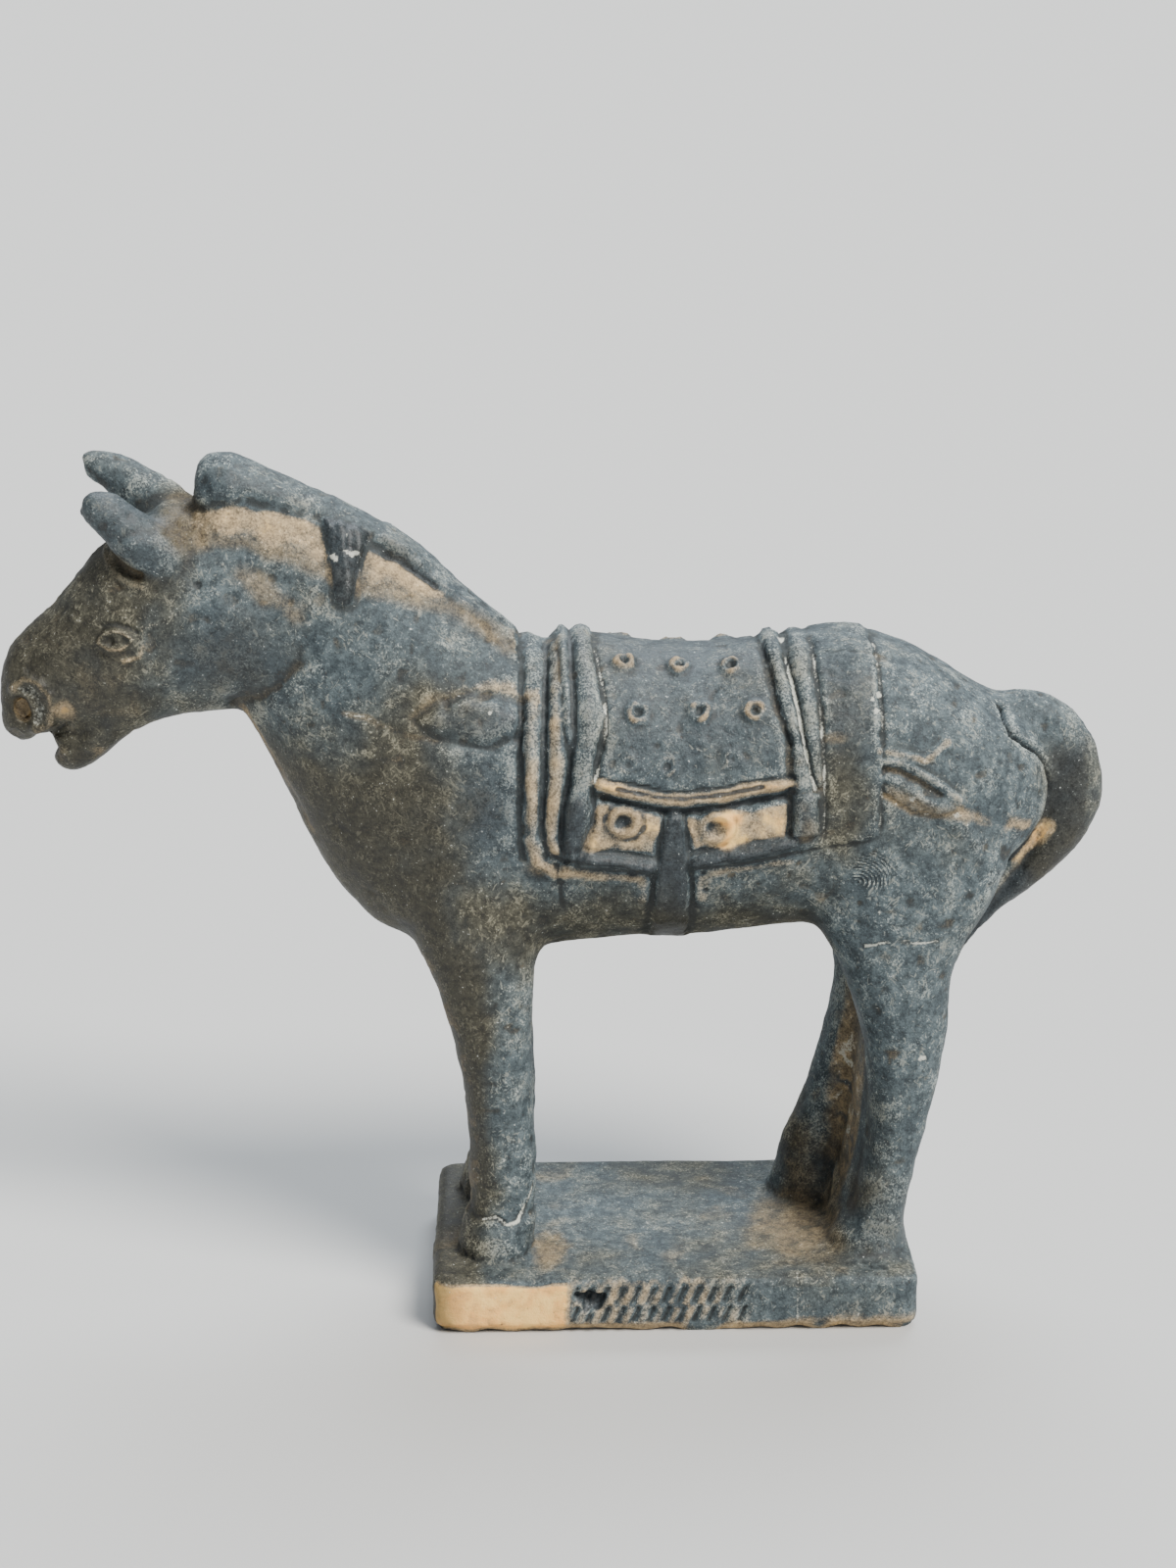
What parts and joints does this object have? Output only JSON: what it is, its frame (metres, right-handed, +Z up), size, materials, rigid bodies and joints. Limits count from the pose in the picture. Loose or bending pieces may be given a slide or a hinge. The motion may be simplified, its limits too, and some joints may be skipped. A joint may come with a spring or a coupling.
{
  "type": "terracotta horse figurine",
  "caption": "Small saddled horse standing square on a low rectangular plinth, pressed from clay in one piece, with an arched mane, pricked ears and a looped tail.",
  "frame": {"origin": "middle of the plinth's underside", "axes": "-X from tail to head, +X along the horse's length, -Y towards the horse's left side, +Z up"},
  "size_m": [0.1234, 0.034, 0.0977],
  "materials": {
    "smoked_clay": "matt slate-grey smoked surface, worn through to peach clay on the raised work"
  },
  "bodies": {
    "root": {"horse": "smoked_clay"}
  },
  "joints": []
}
